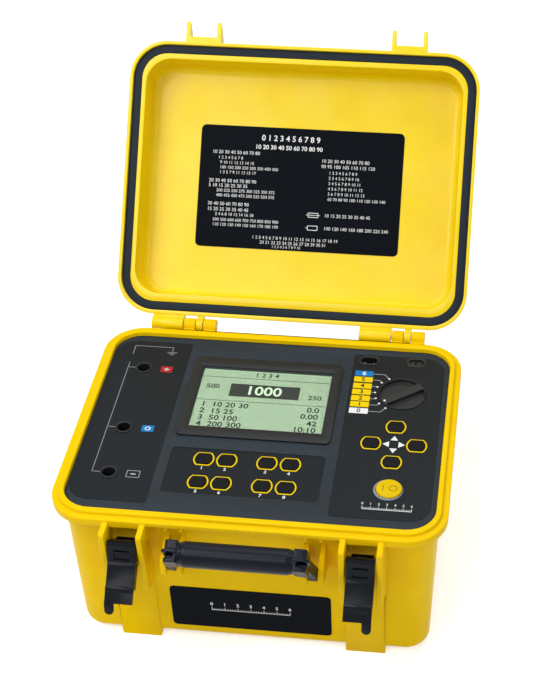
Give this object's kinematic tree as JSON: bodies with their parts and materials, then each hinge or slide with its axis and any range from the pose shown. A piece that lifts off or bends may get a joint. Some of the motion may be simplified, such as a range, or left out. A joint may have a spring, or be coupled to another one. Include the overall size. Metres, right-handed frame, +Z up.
{
  "type": "insulation resistance tester",
  "caption": "Portable insulation resistance tester in a hinged case with panel, screen, keys, rotary selector, test sockets, draw latches and a folding handle.",
  "frame": {"origin": "middle of the foot face under the base", "axes": "+X to the right as the front label is read, +Y to the back where the lid hinges, +Z up"},
  "size_m": [0.34, 0.514, 0.3842],
  "materials": {
    "yellow_case": "satin moulded",
    "panel_dark": "fine texture",
    "overlay_dark": "matt film",
    "label_black": "satin film",
    "gasket_rubber": "matt",
    "latch_black": "moulded",
    "handle_black": "satin",
    "pin_steel": "drawn",
    "key_black": "matt",
    "key_yellow": "satin",
    "ring_grey": "satin",
    "socket_black": "satin",
    "contact_brass": "turned",
    "screen": "satin",
    "window_clear": "clear",
    "bezel_dark": "satin",
    "board_green": "lacquered",
    "module_grey": "powder coat",
    "potting_resin": "cast",
    "cell_blue": "wrapped",
    "screw_zinc": "plated"
  },
  "bodies": {
    "case": {"base_case": "yellow_case", "battery_cells": "cell_blue", "battery_clamp": "module_grey", "board_standoffs": "contact_brass", "buzzer": "socket_black", "control_overlay": "overlay_dark", "control_panel": "panel_dark", "front_label": "label_black", "fuse": "screw_zinc", "fuse_holder": "socket_black", "guard_terminal": "socket_black", "handle_pins": "pin_steel", "high_voltage_module": "potting_resin", "hinge_pin_left": "pin_steel", "hinge_pin_right": "pin_steel", "inlet_pins": "contact_brass", "key_overlay": "overlay_dark", "keypad_board": "board_green", "latch_base_pins": "pin_steel", "lcd_bezel": "bezel_dark", "lcd_glass": "screen", "lcd_module": "board_green", "lcd_window": "window_clear", "main_board": "board_green", "mains_inlet": "socket_black", "negative_terminal": "socket_black", "optical_port": "socket_black", "panel_screws": "screw_zinc", "positive_terminal": "socket_black", "power_supply": "module_grey", "rotary_switch": "module_grey", "start_button_ring": "ring_grey", "terminal_contacts": "contact_brass", "terminal_overlay": "overlay_dark"},
    "lid": {"lid": "yellow_case", "lid_gasket": "gasket_rubber", "lid_label": "label_black"},
    "handle": {"handle": "handle_black"},
    "selector": {"selector_knob": "latch_black", "selector_shaft": "pin_steel"},
    "start_button": {"start_button": "key_yellow"},
    "latch_link_left": {"latch_link_left": "latch_black"},
    "latch_lever_left": {"latch_lever_left": "latch_black", "latch_joint_pin_left": "pin_steel"},
    "latch_link_right": {"latch_link_right": "latch_black"},
    "latch_lever_right": {"latch_lever_right": "latch_black", "latch_joint_pin_right": "pin_steel"},
    "function_key_1": {"function_key_1": "key_black"},
    "function_key_2": {"function_key_2": "key_black"},
    "function_key_3": {"function_key_3": "key_black"},
    "function_key_4": {"function_key_4": "key_black"},
    "function_key_5": {"function_key_5": "key_black"},
    "function_key_6": {"function_key_6": "key_black"},
    "function_key_7": {"function_key_7": "key_black"},
    "function_key_8": {"function_key_8": "key_black"},
    "arrow_key_up": {"arrow_key_up": "key_black"},
    "arrow_key_left": {"arrow_key_left": "key_black"},
    "arrow_key_right": {"arrow_key_right": "key_black"},
    "arrow_key_down": {"arrow_key_down": "key_black"}
  },
  "joints": [
    {"name": "lid_hinge", "type": "hinge", "parent": "case", "child": "lid", "pos_m": [0, 0.1411, 0.1573], "axis": [1, 0, 0], "range_deg": [0, 129.2]},
    {"name": "handle_hinge", "type": "hinge", "parent": "case", "child": "handle", "pos_m": [0, -0.139, 0.117], "axis": [1, 0, 0], "range_deg": [-22, 147]},
    {"name": "selector_turn", "type": "hinge", "parent": "case", "child": "selector", "pos_m": [0.1179, 0.057, 0.15], "axis": [0, 0, 1], "range_deg": [-95, 19]},
    {"name": "latch_link_left_hinge", "type": "hinge", "parent": "case", "child": "latch_link_left", "pos_m": [-0.1006, -0.1275, 0.129], "axis": [-1, 0, 0], "range_deg": [0, 80]},
    {"name": "latch_lever_left_hinge", "type": "hinge", "parent": "latch_link_left", "child": "latch_lever_left", "pos_m": [-0.1006, -0.146, 0.1233], "axis": [1, 0, 0], "range_deg": [0, 115]},
    {"name": "latch_link_right_hinge", "type": "hinge", "parent": "case", "child": "latch_link_right", "pos_m": [0.1006, -0.1275, 0.129], "axis": [-1, 0, 0], "range_deg": [0, 80]},
    {"name": "latch_lever_right_hinge", "type": "hinge", "parent": "latch_link_right", "child": "latch_lever_right", "pos_m": [0.1006, -0.146, 0.1233], "axis": [1, 0, 0], "range_deg": [0, 115]},
    {"name": "function_key_1_press", "type": "slide", "parent": "case", "child": "function_key_1", "axis": [0, 0, 1], "range_m": [-0.0009, 0], "stiffness_N_per_m": 800},
    {"name": "function_key_2_press", "type": "slide", "parent": "case", "child": "function_key_2", "axis": [0, 0, 1], "range_m": [-0.0009, 0], "stiffness_N_per_m": 800},
    {"name": "function_key_3_press", "type": "slide", "parent": "case", "child": "function_key_3", "axis": [0, 0, 1], "range_m": [-0.0009, 0], "stiffness_N_per_m": 800},
    {"name": "function_key_4_press", "type": "slide", "parent": "case", "child": "function_key_4", "axis": [0, 0, 1], "range_m": [-0.0009, 0], "stiffness_N_per_m": 800},
    {"name": "function_key_5_press", "type": "slide", "parent": "case", "child": "function_key_5", "axis": [0, 0, 1], "range_m": [-0.0009, 0], "stiffness_N_per_m": 800},
    {"name": "function_key_6_press", "type": "slide", "parent": "case", "child": "function_key_6", "axis": [0, 0, 1], "range_m": [-0.0009, 0], "stiffness_N_per_m": 800},
    {"name": "function_key_7_press", "type": "slide", "parent": "case", "child": "function_key_7", "axis": [0, 0, 1], "range_m": [-0.0009, 0], "stiffness_N_per_m": 800},
    {"name": "function_key_8_press", "type": "slide", "parent": "case", "child": "function_key_8", "axis": [0, 0, 1], "range_m": [-0.0009, 0], "stiffness_N_per_m": 800},
    {"name": "arrow_key_up_press", "type": "slide", "parent": "case", "child": "arrow_key_up", "axis": [0, 0, 1], "range_m": [-0.0009, 0], "stiffness_N_per_m": 800},
    {"name": "arrow_key_left_press", "type": "slide", "parent": "case", "child": "arrow_key_left", "axis": [0, 0, 1], "range_m": [-0.0009, 0], "stiffness_N_per_m": 800},
    {"name": "arrow_key_right_press", "type": "slide", "parent": "case", "child": "arrow_key_right", "axis": [0, 0, 1], "range_m": [-0.0009, 0], "stiffness_N_per_m": 800},
    {"name": "arrow_key_down_press", "type": "slide", "parent": "case", "child": "arrow_key_down", "axis": [0, 0, 1], "range_m": [-0.0009, 0], "stiffness_N_per_m": 800},
    {"name": "start_button_press", "type": "slide", "parent": "case", "child": "start_button", "axis": [0, 0, 1], "range_m": [-0.0009, 0], "stiffness_N_per_m": 800}
  ],
  "couplings": [
    {"joint": "latch_lever_left_hinge", "follows": "latch_link_left_hinge", "ratio": 1.4375},
    {"joint": "latch_lever_right_hinge", "follows": "latch_link_right_hinge", "ratio": 1.4375}
  ]
}
